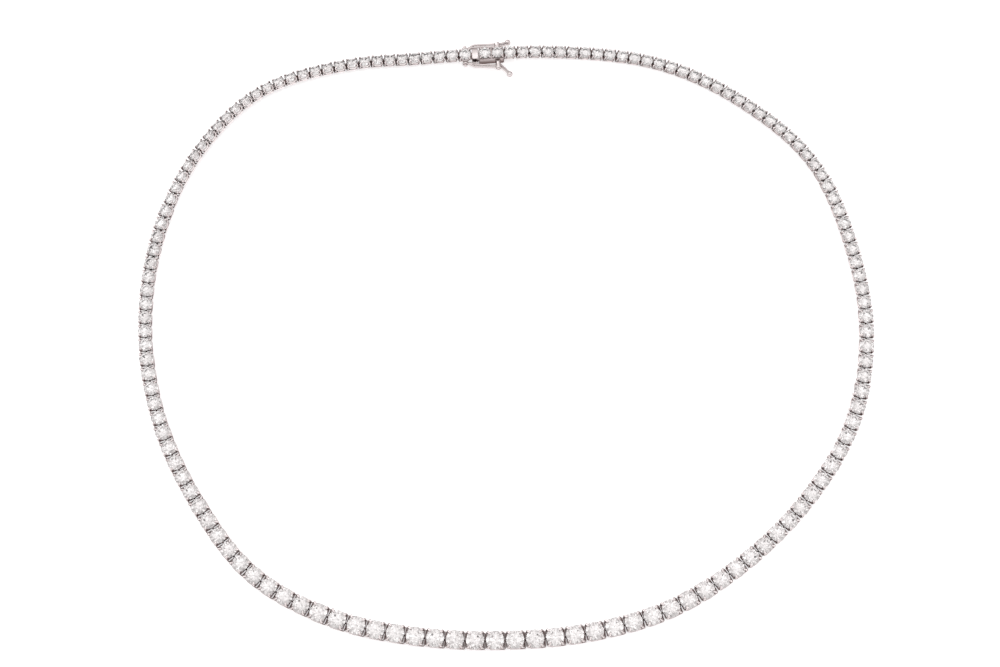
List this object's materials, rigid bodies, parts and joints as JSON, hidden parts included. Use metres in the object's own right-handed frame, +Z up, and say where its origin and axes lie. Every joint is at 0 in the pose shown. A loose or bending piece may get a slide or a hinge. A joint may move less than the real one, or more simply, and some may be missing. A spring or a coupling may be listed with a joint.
{
  "type": "diamond necklace",
  "caption": "Graduated line necklace of round brilliants in four-claw basket links hinged to each other, closed by a box clasp with a spring tongue, thumb tab and two side safety catches.",
  "frame": {"origin": "centre of the bounding box on the surface the necklace lies on", "axes": "+X to the right along the longest extent, +Y towards the clasp at the back of the loop, +Z up, the way the stones' tables face"},
  "size_m": [0.1478, 0.128, 0.0032],
  "materials": {
    "white_gold": "polished white gold",
    "diamond": "clear, facet cut and polished"
  },
  "bodies": {
    "chain": {"links_right": "white_gold", "links_left": "white_gold", "stones_right": "diamond", "stones_left": "diamond", "stones_clasp": "diamond", "clasp_box": "white_gold", "clasp_tongue": "white_gold"},
    "front_catch": {"catch_front": "white_gold"},
    "back_catch": {"catch_back": "white_gold"}
  },
  "joints": [
    {"name": "front_catch_pivot", "type": "hinge", "parent": "chain", "child": "front_catch", "pos_m": [-0.00154, 0.05828, 0.0016], "axis": [-0.0613, 0.9981, 0], "range_deg": [0, 60]},
    {"name": "back_catch_pivot", "type": "hinge", "parent": "chain", "child": "back_catch", "pos_m": [-0.00177, 0.06208, 0.0016], "axis": [-0.0613, 0.9981, 0], "range_deg": [0, 60]}
  ]
}
